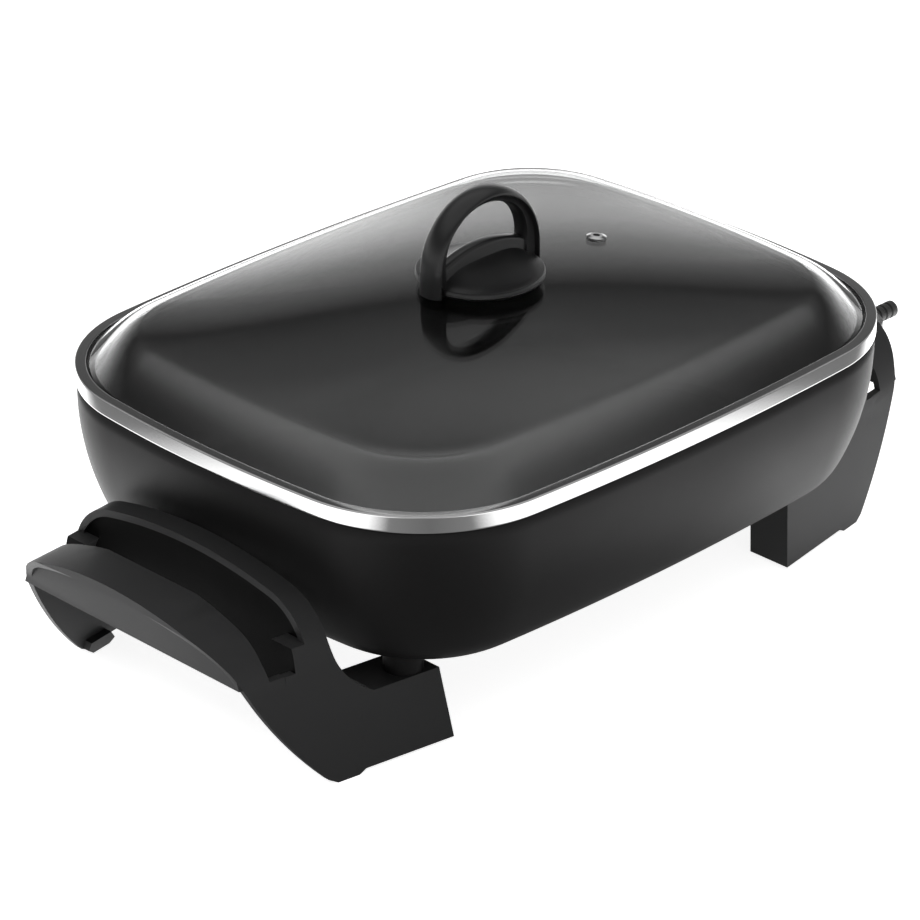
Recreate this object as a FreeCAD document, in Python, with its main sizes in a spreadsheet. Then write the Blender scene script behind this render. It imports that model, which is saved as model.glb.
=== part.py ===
import FreeCAD, Part
import Sketcher
import math
import os

# Electric skillet: a cast pan on two moulded handles with legs, a lift-off glass lid with a steel band,
# and a plug-in temperature control. Z is up, the table is Z = 0 and X runs from handle to handle.

V = FreeCAD.Vector
doc = FreeCAD.newDocument("electric_skillet")
sheet = doc.addObject("Spreadsheet::Sheet", "Sizes")

SIZES = [
    # rim outline, shared by the pan and the lid
    ("rim_length", 400.0),
    ("rim_width", 318.0),
    ("long_side_bow", 1723.0),
    ("short_side_bow", 847.0),
    ("rim_corner", 85.0),
    # pan
    ("pan_underside", 53.0),
    ("pan_floor", 6.0),
    ("pan_wall", 3.2),
    ("pan_rim_top", 142.4),
    ("pan_rim_step", 0.6),
    ("wall_curve", 150.0),
    ("wall_curve_drop", 7.4),
    ("bottom_curve", 29.0),
    ("inner_bottom_curve", 24.0),
    ("post_radius", 10.5),
    ("post_along", 147.0),
    ("post_across", 91.0),
    # heating element and socket
    ("heater_half_length", 118.0),
    ("heater_half_width", 84.0),
    ("heater_bend", 52.0),
    ("heater_radius", 3.5),
    ("heater_clearance", 0.15),
    ("heater_rib", 7.5),
    ("heater_rib_drop", 2.0),
    ("plug_height", 52.4),
    ("pin_spread", 12.5),
    ("pin_radius", 2.5),
    ("pin_reach", 21.0),
    ("boss_start", 146.0),
    ("boss_face", 184.0),
    ("boss_half_width", 23.0),
    ("boss_half_height", 9.5),
    ("insulator_radius", 4.6),
    ("insulator_depth", 6.0),
    ("guard_half_width", 24.0),
    ("guard_half_height", 12.0),
    ("guard_length", 22.0),
    ("guard_sheet", 1.2),
    # handles
    ("leg_spread", 110.5),
    ("leg_toe", 0.159),
    ("leg_lean", 0.124),
    ("arm_end", 129.5),
    ("arm_end_slant", 4.9),
    ("arm_top", 42.8),
    ("arm_length", 45.0),
    ("arm_width", 27.0),
    ("moulding_wall", 4.0),
    ("wall_crown", 106.7),
    ("wall_crown_bow", 290.0),
    ("bar_crown", 99.5),
    ("bar_crown_bow", 190.0),
    ("handle_shoulder", 35.0),
    ("ribbon_rear", 198.0),
    ("ribbon_width", 13.0),
    ("slot_floor", 66.0),
    ("ledge_height", 79.0),
    ("ledge_length", 8.0),
    ("slot_width", 24.0),
    ("slot_taper", 1.2),
    ("bar_width", 30.0),
    ("bar_shoulder", 12.0),
    ("bar_shoulder_drop", 25.5),
    ("bar_plan_bow", 660.0),
    ("panel_set_back", 13.5),
    ("lip_depth", 6.5),
    ("foot_relief", 2.2),
    ("foot_width", 9.0),
    ("foot_set_back", 10.0),
    ("foot_length", 13.0),
    ("screw_radius", 2.4),
    ("screw_hole_radius", 2.9),
    ("screw_head_radius", 4.6),
    ("screw_head_height", 3.0),
    ("screw_depth", 12.0),
    ("washer_thickness", 1.0),
    ("washer_radius", 6.0),
    # lid
    ("lid_gap", 0.35),
    ("band_height", 9.3),
    ("band_sheet", 0.8),
    ("band_top_width", 6.0),
    ("band_foot_width", 5.4),
    ("band_lip_drop", 3.2),
    ("band_clearance", 0.3),
    ("glass_thickness", 4.0),
    ("dome_edge", 7.0),
    ("shoulder_width", 28.0),
    ("shoulder_rise", 18.6),
    ("crown_rise", 13.0),
    ("vent_along", 89.5),
    ("vent_radius", 5.6),
    ("vent_bore", 2.0),
    ("knob_stand", 1.2),
    ("saucer_radius", 34.8),
    ("saucer_edge", 5.4),
    ("saucer_rise", 8.0),
    ("arch_radius", 40.5),
    ("arch_height", 53.5),
    ("arch_depth", 16.0),
    ("loop_radius", 32.0),
    ("loop_half_width", 28.8),
    ("spine_width", 8.0),
    ("spine_height", 22.0),
    # plug-in control
    ("nose_start", 188.5),
    ("nose_half_width", 20.5),
    ("nose_half_height", 9.5),
    ("body_start", 210.0),
    ("body_half_width", 25.0),
    ("body_half_height", 12.0),
    ("body_end", 296.0),
    ("tail_end", 322.0),
    ("tail_half_width", 9.5),
    ("housing_wall", 2.2),
    ("housing_corner", 6.0),
    ("stem_radius", 3.0),
    ("stem_tip", 150.0),
    ("stem_bore_clearance", 0.35),
    ("contact_wall", 1.0),
    ("contact_length", 26.0),
    ("contact_clearance", 0.3),
    ("block_length", 14.0),
    ("block_half_width", 18.0),
    ("strip_half_width", 4.0),
    ("strip_sheet", 0.8),
    ("housing_screw_along", 26.0),
    ("housing_screw_inset", 7.0),
    ("dial_along", 284.0),
    ("dial_radius", 19.0),
    ("dial_height", 9.0),
    ("dial_gap", 0.5),
    ("shaft_radius", 3.0),
    ("shaft_length", 15.0),
    ("lamp_along", 309.0),
    ("lamp_radius", 2.6),
    ("gland_ring_radius", 7.0),
    ("gland_body_radius", 5.0),
    ("gland_bore", 3.2),
    ("gland_reach", 24.0),
]

for row, (alias, value) in enumerate(SIZES, start=1):
    sheet.set("A%d" % row, alias)
    sheet.set("B%d" % row, str(value))
    sheet.setAlias("B%d" % row, alias)
doc.recompute()


def size(alias):
    """The number in the cell of this alias."""
    return float(sheet.get(alias))


RIM_LENGTH = size("rim_length")
RIM_WIDTH = size("rim_width")
PLUG_HEIGHT = size("plug_height")
WALL = size("moulding_wall")


# Shared operations

def one_solid(shape):
    """A single clean solid out of a boolean result."""
    clean = shape.removeSplitter()
    if len(clean.Solids) == 1:
        return clean.Solids[0]
    return clean


def feature(label, shape):
    """A sub-part whose form is worked out here from the sheet."""
    item = doc.addObject("Part::Feature", label)
    item.Label = label
    item.Shape = shape
    item.Placement = FreeCAD.Placement()
    return item


def mirrored_x(shape):
    return shape.mirror(V(0, 0, 0), V(1, 0, 0))


def mirrored_y(shape):
    return shape.mirror(V(0, 0, 0), V(0, 1, 0))


def box(x_low, x_high, y_low, y_high, z_low, z_high):
    return Part.makeBox(x_high - x_low, y_high - y_low, z_high - z_low, V(x_low, y_low, z_low))


def rod(radius, x_low, x_high, y, z):
    """A round bar along X."""
    return Part.makeCylinder(radius, x_high - x_low, V(x_low, y, z), V(1, 0, 0))


def upright(radius, x, y, z_low, z_high):
    """A round bar along Z."""
    return Part.makeCylinder(radius, z_high - z_low, V(x, y, z_low), V(0, 0, 1))


def side_prism(points, reach=400.0):
    """A closed XZ outline drawn through the whole width; an arc is given by its middle point."""
    edges = []
    start = points[0]
    index = 1
    while index <= len(points):
        step = points[index % len(points)]
        if len(step) == 3:
            end = points[(index + 1) % len(points)]
            arc = Part.Arc(V(start[0], 0, start[1]), V(step[0], 0, step[1]), V(end[0], 0, end[1]))
            edges.append(arc.toShape())
            index += 2
        else:
            end = step
            edges.append(Part.makeLine(V(start[0], 0, start[1]), V(end[0], 0, end[1])))
            index += 1
        start = end
    face = Part.Face(Part.Wire(edges))
    face.translate(V(0, -reach / 2, 0))
    return face.extrude(V(0, reach, 0))


def turned(label, profile, base, axis="z"):
    """A turned body: its profile is a closed list of (radius, height) expressions of the sheet."""
    body = doc.addObject("PartDesign::Body", label)
    body.Label = label
    sketch = body.newObject("Sketcher::SketchObject", label + "_profile")
    planes = {item.Role: item for item in body.Origin.OriginFeatures}
    sketch.AttachmentSupport = [(planes["XZ_Plane"], "")]
    sketch.MapMode = "FlatFace"
    count = len(profile)
    for index in range(count):
        near = V(1 + index, index, 0)
        far = V(1 + (index + 1) % count, (index + 1) % count, 0)
        sketch.addGeometry(Part.LineSegment(near, far), False)
    for index in range(count):
        follower = (index + 1) % count
        sketch.addConstraint(Sketcher.Constraint("Coincident", index, 2, follower, 1))
    for index, (radius, height) in enumerate(profile):
        for kind, word, expression in (("DistanceX", "radius", radius), ("DistanceY", "height", height)):
            number = sketch.addConstraint(Sketcher.Constraint(kind, -1, 1, index, 1, 1.0 + index))
            name = "%s_%d" % (word, index)
            sketch.renameConstraint(number, name)
            sketch.setExpression("Constraints." + name, expression)
    turn = body.newObject("PartDesign::Revolution", label + "_turned")
    turn.Profile = sketch
    turn.ReferenceAxis = (sketch, ["V_Axis"])
    turn.Angle = 360.0
    body.Tip = turn
    angle = {"z": 0.0, "x": 90.0}[axis]
    body.Placement = FreeCAD.Placement(V(0, 0, 0), FreeCAD.Rotation(V(0, 1, 0), angle))
    for letter, expression in zip("xyz", base):
        body.setExpression("Placement.Base." + letter, expression)
    return body


# Rim outline: four bowed sides joined by tangent corner arcs

def outline(inset, height, scale=1.0):
    """The rim outline moved inwards by inset, shrunk about the centre by scale, at this height."""
    half_length = RIM_LENGTH / 2 - inset
    half_width = RIM_WIDTH / 2 - inset
    long_bow = size("long_side_bow") - inset
    short_bow = size("short_side_bow") - inset
    corner = size("rim_corner") - inset
    long_centre = V(0, half_width - long_bow, 0)
    short_centre = V(half_length - short_bow, 0, 0)
    span = short_centre - long_centre
    distance = span.Length
    reach_long = long_bow - corner
    reach_short = short_bow - corner
    along = (reach_long ** 2 - reach_short ** 2 + distance ** 2) / (2 * distance)
    lift = math.sqrt(reach_long ** 2 - along ** 2)
    direction = span / distance
    square = V(-direction.y, direction.x, 0)
    first = long_centre + direction * along + square * lift
    second = long_centre + direction * along - square * lift
    centre = first if first.x + first.y > second.x + second.y else second
    on_long = centre + (centre - long_centre).normalize() * corner
    on_short = centre + (centre - short_centre).normalize() * corner
    middle = centre + ((on_long - centre) + (on_short - centre)).normalize() * corner

    def spot(point, x_sign, y_sign):
        return V(point.x * x_sign * scale, point.y * y_sign * scale, height)

    east = V(half_length, 0, 0)
    north = V(0, half_width, 0)
    arcs = [
        (spot(on_short, 1, -1), spot(east, 1, 1), spot(on_short, 1, 1)),
        (spot(on_short, 1, 1), spot(middle, 1, 1), spot(on_long, 1, 1)),
        (spot(on_long, 1, 1), spot(north, 1, 1), spot(on_long, -1, 1)),
        (spot(on_long, -1, 1), spot(middle, -1, 1), spot(on_short, -1, 1)),
        (spot(on_short, -1, 1), spot(east, -1, 1), spot(on_short, -1, -1)),
        (spot(on_short, -1, -1), spot(middle, -1, -1), spot(on_long, -1, -1)),
        (spot(on_long, -1, -1), spot(north, 1, -1), spot(on_long, 1, -1)),
        (spot(on_long, 1, -1), spot(middle, 1, -1), spot(on_short, 1, -1)),
    ]
    return Part.Wire([Part.Arc(*three).toShape() for three in arcs])


def slab(inset, z_low, z_high):
    return Part.Face(outline(inset, z_low)).extrude(V(0, 0, z_high - z_low))


def ring(outer_inset, inner_inset, z_low, z_high):
    return slab(outer_inset, z_low, z_high).cut(slab(inner_inset, z_low, z_high))


# Pan: walls curve in to a rounded bottom, four posts stand under the corners for the handles

def pan_skin(bottom_height, bottom_curve, wall_offset, top):
    """A solid up to the given top whose side follows the wall curve and the bottom curve."""
    wall_curve = size("wall_curve") - wall_offset
    curve_top = size("pan_rim_top") - size("wall_curve_drop")
    centre_inset = size("pan_rim_step") + size("wall_curve")
    bottom_centre = bottom_height + bottom_curve
    between = wall_curve - bottom_curve
    fall = curve_top - bottom_centre
    bottom_inset = centre_inset - math.sqrt(between ** 2 - fall ** 2)
    meeting = math.degrees(math.asin(fall / between))
    sections = [outline(centre_inset - wall_curve, top)]
    sections.append(outline(centre_inset - wall_curve, curve_top + 1.0))
    for share in (0.5,):
        angle = math.radians(meeting * share)
        inset = centre_inset - wall_curve * math.cos(angle)
        sections.append(outline(inset, curve_top - wall_curve * math.sin(angle)))
    for share in (0.0, 0.33, 0.67, 1.0):
        angle = math.radians(meeting + (90.0 - meeting) * share)
        inset = bottom_inset - bottom_curve * math.cos(angle)
        sections.append(outline(inset, bottom_centre - bottom_curve * math.sin(angle)))
    return Part.makeLoft(sections, True, True)


def heater_path():
    """The loop of the heating element: from one socket pin round the pan's underside to the other."""
    half_length = size("heater_half_length")
    half_width = size("heater_half_width")
    bend = size("heater_bend")
    spread = size("pin_spread")
    start = size("boss_face") - size("insulator_depth")
    turn = 16.0
    z = PLUG_HEIGHT
    side = half_length - bend
    slant = math.sqrt(0.5)
    right = [
        ("line", V(start, spread, z), V(half_length + turn, spread, z)),
        ("arc", V(half_length + turn, spread, z),
         V(half_length + turn - turn * slant, spread + turn - turn * slant, z),
         V(half_length, spread + turn, z)),
        ("line", V(half_length, spread + turn, z), V(half_length, half_width - bend, z)),
        ("arc", V(half_length, half_width - bend, z),
         V(side + bend * slant, half_width - bend + bend * slant, z), V(side, half_width, z)),
        ("line", V(side, half_width, z), V(-side, half_width, z)),
        ("arc", V(-side, half_width, z),
         V(-side - bend * slant, half_width - bend + bend * slant, z), V(-half_length, half_width - bend, z)),
        ("line", V(-half_length, half_width - bend, z), V(-half_length, 0, z)),
    ]
    edges = []
    for step in right:
        if step[0] == "line":
            edges.append(Part.makeLine(step[1], step[2]))
        else:
            edges.append(Part.Arc(step[1], step[2], step[3]).toShape())
    returning = []
    for edge in reversed(edges):
        returning.append(edge.mirror(V(0, 0, 0), V(0, 1, 0)))
    return Part.Wire(Part.__sortEdges__(edges + returning))


def pipe(radius):
    """A solid along the heating element's loop: a tube pressed to eight flats this far from its axis."""
    path = heater_path()
    start = V(size("boss_face") - size("insulator_depth"), size("pin_spread"), PLUG_HEIGHT)
    ends = [path.Vertexes[0].Point, path.Vertexes[-1].Point]
    start = min(ends, key=lambda point: (point - start).Length)
    flats = 8
    corner = radius / math.cos(math.pi / flats)
    ring_points = []
    for index in range(flats + 1):
        angle = 2.0 * math.pi * (index + 0.5) / flats
        ring_points.append(start + V(0, corner * math.cos(angle), corner * math.sin(angle)))
    return path.makePipeShell([Part.makePolygon(ring_points)], True, False)


def heater_bed():
    """The raised cast rib under the pan that holds the heating element."""
    half_length = size("heater_half_length")
    half_width = size("heater_half_width")
    low = size("pan_underside") - size("heater_rib_drop")
    high = size("pan_underside") + 1.0
    reach = size("heater_rib")
    bend = size("heater_bend")

    def rounded(grow):
        blank = box(-half_length - grow, half_length + grow, -half_width - grow, half_width + grow, low, high)
        edges = [edge for edge in blank.Edges if abs(edge.tangentAt(edge.FirstParameter).z) > 0.9]
        return blank.makeFillet(bend + grow, edges)

    return rounded(reach).cut(rounded(-reach))


def make_pan():
    rim_top = size("pan_rim_top")
    under = size("pan_underside")
    outer = pan_skin(under, size("bottom_curve"), 0.0, rim_top)
    inner = pan_skin(under + size("pan_floor"), size("inner_bottom_curve"), size("pan_wall"), rim_top + 5.0)
    shape = outer.fuse(heater_bed())
    half_width = size("boss_half_width")
    half_height = size("boss_half_height")
    boss = box(size("boss_start"), size("boss_face"), -half_width, half_width,
               PLUG_HEIGHT - half_height, PLUG_HEIGHT + half_height)
    shape = shape.fuse(boss)
    for x_sign in (-1, 1):
        for y_sign in (-1, 1):
            x = x_sign * size("post_along")
            y = y_sign * size("post_across")
            post = upright(size("post_radius"), x, y, size("arm_top"), under + size("pan_floor") / 2)
            shape = shape.fuse(post)
    shape = shape.cut(inner)
    for x_sign in (-1, 1):
        for y_sign in (-1, 1):
            x = x_sign * size("post_along")
            y = y_sign * size("post_across")
            shape = shape.cut(upright(size("screw_radius"), x, y, size("arm_top") - 1.0,
                                      size("arm_top") + size("screw_depth")))
    shape = shape.cut(pipe(size("heater_radius") + size("heater_clearance")))
    face = size("boss_face")
    for y_sign in (-1, 1):
        shape = shape.cut(rod(size("insulator_radius"), face - size("insulator_depth"), face + 1.0,
                              y_sign * size("pin_spread"), PLUG_HEIGHT))
    bore = size("stem_radius") + size("stem_bore_clearance")
    shape = shape.cut(rod(bore, size("stem_tip") - 1.0, face + 1.0, 0, PLUG_HEIGHT))
    return one_solid(shape)


feature("pan", make_pan())
feature("heating_element", one_solid(pipe(size("heater_radius"))))


# Socket: two pins in ceramic bushes and a sheet-metal guard round them

def make_pins():
    face = size("boss_face")
    start = face - size("insulator_depth")
    pins = []
    for y_sign in (-1, 1):
        y = y_sign * size("pin_spread")
        pin = rod(size("pin_radius"), start, face + size("pin_reach") - 2.0, y, PLUG_HEIGHT)
        tip = Part.makeCone(size("pin_radius"), size("pin_radius") - 1.2, 2.0,
                            V(face + size("pin_reach") - 2.0, y, PLUG_HEIGHT), V(1, 0, 0))
        pins.append(one_solid(pin.fuse(tip)))
    return Part.makeCompound(pins)


def make_insulators():
    face = size("boss_face")
    start = face - size("insulator_depth")
    bushes = []
    for y_sign in (-1, 1):
        y = y_sign * size("pin_spread")
        bush = rod(size("insulator_radius"), start, face + size("guard_sheet"), y, PLUG_HEIGHT)
        bushes.append(one_solid(bush.cut(rod(size("pin_radius"), start, face + 3.0, y, PLUG_HEIGHT))))
    return Part.makeCompound(bushes)


def make_guard():
    face = size("boss_face")
    half_width = size("guard_half_width")
    half_height = size("guard_half_height")
    sheet_metal = size("guard_sheet")

    def sleeve(shrink, start):
        blank = box(start, face + size("guard_length"), shrink - half_width, half_width - shrink,
                    PLUG_HEIGHT - half_height + shrink, PLUG_HEIGHT + half_height - shrink)
        edges = [edge for edge in blank.Edges if abs(edge.tangentAt(edge.FirstParameter).x) > 0.9]
        return blank.makeFillet(5.0 - shrink, edges)

    shape = sleeve(0.0, face).cut(sleeve(sheet_metal, face + sheet_metal))
    for y_sign in (-1, 1):
        shape = shape.cut(rod(size("insulator_radius"), face - 1.0, face + 3.0,
                              y_sign * size("pin_spread"), PLUG_HEIGHT))
    shape = shape.cut(rod(size("stem_radius") + 1.0, face - 1.0, face + 3.0, 0, PLUG_HEIGHT))
    return one_solid(shape)


feature("terminal_pins", make_pins())
feature("pin_insulators", make_insulators())
feature("terminal_guard", make_guard())


# Handles: each is one moulding of a roofed wall beside the pan, a grip bar outside the finger slot,
# and two leaning legs that end in hollow arms screwed under the pan

def arch(x, crown, crown_bow, depth):
    """The handle's arched outline across Y at x, moved inwards by depth."""
    lean = size("leg_lean")
    shoulder = size("handle_shoulder")
    foot = size("leg_spread") - size("leg_toe") * (x - size("arm_end"))
    unit = math.sqrt(1.0 + lean * lean)
    crown_centre = crown - crown_bow
    away = foot - shoulder * unit
    half = away * lean + crown_centre
    rest = away ** 2 + crown_centre ** 2 - (crown_bow - shoulder) ** 2
    centre_z = (half + math.sqrt(half ** 2 - unit ** 2 * rest)) / unit ** 2
    centre_y = away - lean * centre_z
    low = -3.0
    bottom = V(x, foot - depth * unit - lean * low, low)
    side = V(x, centre_y + (shoulder - depth) / unit, centre_z + (shoulder - depth) * lean / unit)
    outward = V(0, centre_y, centre_z - crown_centre).normalize()
    top = V(x, outward.y * (crown_bow - depth), crown_centre + outward.z * (crown_bow - depth))
    halfway = V(0, 1.0 / unit + outward.y, lean / unit + outward.z).normalize()
    bend = V(x, centre_y, centre_z) + halfway * (shoulder - depth)
    peak = V(x, 0, crown - depth)

    def other(point):
        return V(point.x, -point.y, point.z)

    return Part.Wire([
        Part.makeLine(other(bottom), bottom),
        Part.makeLine(bottom, side),
        Part.Arc(side, bend, top).toShape(),
        Part.Arc(top, peak, other(top)).toShape(),
        Part.Arc(other(top), other(bend), other(side)).toShape(),
        Part.makeLine(other(side), other(bottom)),
    ])


def make_handle():
    """The handle at the +X end."""
    arm_end = size("arm_end")
    arm_top = size("arm_top")
    slant = size("arm_end_slant")
    relief = size("foot_relief")
    rear = size("ribbon_rear")
    front = rear + size("ribbon_width")
    ledge_end = front + size("ledge_length")
    bar_inner = front + size("slot_width")
    slot_outer = bar_inner - size("slot_taper")
    bar_outer = bar_inner + size("bar_width")
    slot_floor = size("slot_floor")
    ledge = size("ledge_height")
    crown = size("wall_crown")
    bar_crown = size("bar_crown")
    seam = ledge_end + 6.0
    heel = rear - size("foot_set_back")
    toe = heel + size("foot_length")
    arm_stop = arm_end + size("arm_length")
    end = bar_outer + 5.0

    def inner_mass(depth):
        return Part.makeLoft([arch(arm_end - 4.0, crown, size("wall_crown_bow"), depth),
                              arch(seam, crown, size("wall_crown_bow"), depth)], True, True)

    def outer_mass(depth):
        return Part.makeLoft([arch(seam, bar_crown, size("bar_crown_bow"), depth),
                              arch(end, bar_crown, size("bar_crown_bow"), depth)], True, True)

    profile = side_prism([
        (arm_end, relief),
        (heel - 4.3, relief),
        (heel, 0.0),
        (toe, 0.0),
        (toe + 5.3, relief + 0.9),
        (slot_outer, arm_top - 5.0, "arc"),
        (bar_outer - size("bar_shoulder"), bar_crown - size("bar_shoulder_drop")),
        (bar_outer, bar_crown - 5.0),
        (bar_outer, bar_crown),
        (bar_inner, bar_crown - 3.0),
        (bar_inner, slot_floor + 9.0),
        (slot_outer, slot_floor),
        (ledge_end, slot_floor),
        (ledge_end, ledge),
        (front, ledge),
        (front, crown + 2.0),
        (rear, crown + 2.0),
        (rear, ledge + 2.0),
        (rear - 8.0, arm_top + 13.5, "arc"),
        (arm_stop, arm_top),
        (arm_end + slant, arm_top),
    ])
    shell = inner_mass(0.0).cut(inner_mass(WALL)).fuse(outer_mass(0.0).cut(outer_mass(WALL)))
    shape = shell.common(profile)

    # roofed wall beside the pan, closed down to the socket's height
    web_start = front - WALL - 2.0
    side = size("leg_spread") + 10.0
    shape = shape.fuse(inner_mass(0.5).common(box(web_start, web_start + WALL, -side, side,
                                                  slot_floor + 3.0, crown)))
    # ledges at the two ends of the finger slot
    ledges = inner_mass(0.5).cut(inner_mass(WALL + 9.0))
    shape = shape.fuse(ledges.common(box(web_start + 1.0, ledge_end, -side, side, slot_floor + 3.0, ledge)))
    # grip bar: a wall to the slot, a recessed outer panel and a thick outer lip
    panel = bar_outer - size("panel_set_back")
    lip = bar_crown - size("lip_depth")
    bar = side_prism([(bar_inner, slot_floor + 9.0), (bar_inner, bar_crown - 3.0), (bar_outer, bar_crown),
                      (bar_outer, bar_crown - 5.0), (bar_outer - 3.0, lip), (panel, lip - 3.0),
                      (panel, slot_floor), (panel - WALL, slot_floor), (panel - WALL, lip - 4.0),
                      (bar_inner + WALL, lip - 4.0), (bar_inner + WALL, slot_floor + 2.0),
                      (bar_inner + 1.0, slot_floor + 2.0)])
    shape = shape.fuse(outer_mass(0.5).common(bar))
    # hollow arms below the pan
    arm_block = side_prism([(arm_end, relief), (arm_stop, relief), (arm_stop, arm_top),
                            (arm_end + slant, arm_top)])
    arm_hollow = side_prism([(arm_end + WALL, -2.0), (arm_stop - WALL, -2.0), (arm_stop - WALL, arm_top - WALL),
                             (arm_end + slant + WALL, arm_top - WALL)])
    arms = inner_mass(0.5).cut(inner_mass(size("arm_width"))).common(arm_block)
    cavity = inner_mass(WALL).cut(inner_mass(size("arm_width") - WALL)).common(arm_hollow)
    shape = shape.fuse(arms.cut(cavity))
    # feet
    feet = inner_mass(0.5).cut(inner_mass(size("foot_width")))
    pad = relief + 4.8
    shape = shape.fuse(feet.common(side_prism([(heel - 4.3, relief), (heel, 0.0), (toe, 0.0),
                                               (toe + 4.0, relief + 0.8), (toe + 2.0, pad),
                                               (heel - 1.0, pad)])))
    # the grip bows outwards in plan
    bow = size("bar_plan_bow")
    shape = shape.common(Part.makeCylinder(bow, crown + 40.0, V(bar_outer - bow, 0, -5.0)))
    for y_sign in (-1, 1):
        shape = shape.cut(upright(size("screw_hole_radius"), size("post_along"), y_sign * size("post_across"),
                                  arm_top - WALL - 2.0, arm_top + 2.0))
    return one_solid(shape)


right = make_handle()
feature("handle_right", right)
feature("handle_left", mirrored_x(right))


# Handle screws and washers, driven up through the hollow arms into the pan's posts

screw = turned("handle_screw_pattern", [
    ("0", "Sizes.arm_top + Sizes.screw_depth - 1.5"),
    ("Sizes.screw_radius - 0.1", "Sizes.arm_top + Sizes.screw_depth - 1.5"),
    ("Sizes.screw_radius - 0.1", "Sizes.arm_top - Sizes.moulding_wall - Sizes.washer_thickness"),
    ("Sizes.screw_head_radius", "Sizes.arm_top - Sizes.moulding_wall - Sizes.washer_thickness"),
    ("Sizes.screw_head_radius - 0.6",
     "Sizes.arm_top - Sizes.moulding_wall - Sizes.washer_thickness - Sizes.screw_head_height"),
    ("0", "Sizes.arm_top - Sizes.moulding_wall - Sizes.washer_thickness - Sizes.screw_head_height"),
], ("Sizes.post_along", "Sizes.post_across", "0"))
washer = turned("handle_washer_pattern", [
    ("Sizes.screw_radius + 0.3", "Sizes.arm_top - Sizes.moulding_wall"),
    ("Sizes.washer_radius", "Sizes.arm_top - Sizes.moulding_wall"),
    ("Sizes.washer_radius", "Sizes.arm_top - Sizes.moulding_wall - Sizes.washer_thickness"),
    ("Sizes.screw_radius + 0.3", "Sizes.arm_top - Sizes.moulding_wall - Sizes.washer_thickness"),
], ("Sizes.post_along", "Sizes.post_across", "0"))
doc.recompute()


def at_four_corners(shape):
    pair = [shape, mirrored_y(shape)]
    return Part.makeCompound(pair + [mirrored_x(item) for item in pair])


feature("handle_screws", at_four_corners(screw.Shape))
feature("handle_washers", at_four_corners(washer.Shape))


# Lid: a tempered dome held by a rolled steel band with a silicone seal

BAND_LOW = size("pan_rim_top") + size("lid_gap")
BAND_TOP = BAND_LOW + size("band_height")
EDGE_TOP = BAND_TOP - size("band_sheet")
EDGE_LOW = EDGE_TOP - size("glass_thickness")
CROWN_TOP = EDGE_TOP + size("shoulder_rise") + size("crown_rise")


CROWN_SCALES = (1.0, 0.76, 0.48, 0.17)


def crown_lift(scale):
    """How far the crown stands above its foot at one of its scales."""
    return size("crown_rise") * (1.0 - scale ** 2)


def dome(depth):
    """The dome's solid under a surface that lies depth below the outer face of the glass."""
    edge = size("dome_edge")
    width = size("shoulder_width")
    rise = size("shoulder_rise")
    foot = slab(edge + depth * 0.7, EDGE_LOW - 2.0, EDGE_TOP - depth)
    shoulder = []
    for share in (0.0, 0.5, 1.0):
        inset = edge + width * share + depth * 0.7 * (1.0 - share)
        lift = rise * (0.8 * math.sin(share * math.pi / 2) + 0.2 * share)
        shoulder.append(outline(inset, EDGE_TOP + lift - depth))
    crown = []
    for scale in CROWN_SCALES:
        crown.append(outline(edge + width, EDGE_TOP + rise + crown_lift(scale) - depth, scale))
    return foot.fuse([Part.makeLoft(shoulder, True, True), Part.makeLoft(crown, True, True)])


def make_glass():
    rim_inset = size("band_sheet") + size("band_clearance")
    shape = slab(rim_inset, EDGE_LOW, EDGE_TOP).fuse(dome(0.0))
    shape = shape.cut(dome(size("glass_thickness")))
    shape = shape.cut(slab(0.0, EDGE_LOW - 5.0, EDGE_LOW))
    shape = shape.cut(upright(size("screw_hole_radius"), 0, 0, EDGE_LOW, CROWN_TOP + 5.0))
    shape = shape.cut(upright(size("vent_bore") + 1.5, size("vent_along"), 0, EDGE_LOW, CROWN_TOP + 5.0))
    return one_solid(shape)


def make_band():
    metal = size("band_sheet")
    foot = size("band_foot_width")
    shape = ring(0.0, metal, BAND_LOW, BAND_TOP)
    shape = shape.fuse(ring(0.0, size("band_top_width"), EDGE_TOP, BAND_TOP))
    shape = shape.fuse(ring(0.0, foot, BAND_LOW, BAND_LOW + metal))
    shape = shape.fuse(ring(foot - metal, foot, BAND_LOW - size("band_lip_drop"), BAND_LOW + metal))
    return one_solid(shape)


def make_seal():
    start = size("band_sheet") + size("band_clearance")
    return one_solid(ring(start, size("band_foot_width") - 0.4, BAND_LOW + size("band_sheet"), EDGE_LOW))


feature("lid_glass", make_glass())
feature("lid_band", make_band())
feature("lid_seal", make_seal())

SHOULDER_LENGTH = RIM_LENGTH / 2 - size("dome_edge") - size("shoulder_width")
VENT_SCALE = size("vent_along") / SHOULDER_LENGTH
OUT = min(scale for scale in CROWN_SCALES if scale >= VENT_SCALE)
IN = max(scale for scale in CROWN_SCALES if scale < VENT_SCALE)
VENT_SLOPE = (crown_lift(IN) - crown_lift(OUT)) / (OUT - IN)
VENT_TOP = EDGE_TOP + size("shoulder_rise") + crown_lift(OUT) + VENT_SLOPE * (OUT - VENT_SCALE)
VENT_TILT = math.degrees(math.atan(VENT_SLOPE / SHOULDER_LENGTH))
grommet = turned("vent_grommet", [
    ("Sizes.vent_bore", "1.6"),
    ("Sizes.vent_bore + 1.6", "1.6"),
    ("Sizes.vent_radius", "0.9"),
    ("Sizes.vent_radius", "0.1"),
    ("Sizes.vent_bore + 1.1", "0.1"),
    ("Sizes.vent_bore + 1.1", "-Sizes.glass_thickness - 0.1"),
    ("Sizes.vent_radius - 1.0", "-Sizes.glass_thickness - 0.1"),
    ("Sizes.vent_radius - 1.0", "-Sizes.glass_thickness - 0.9"),
    ("Sizes.vent_bore", "-Sizes.glass_thickness - 0.9"),
], ("Sizes.vent_along", "0", str(VENT_TOP)))
tilt = FreeCAD.Rotation(V(0, 1, 0), VENT_TILT)
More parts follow.
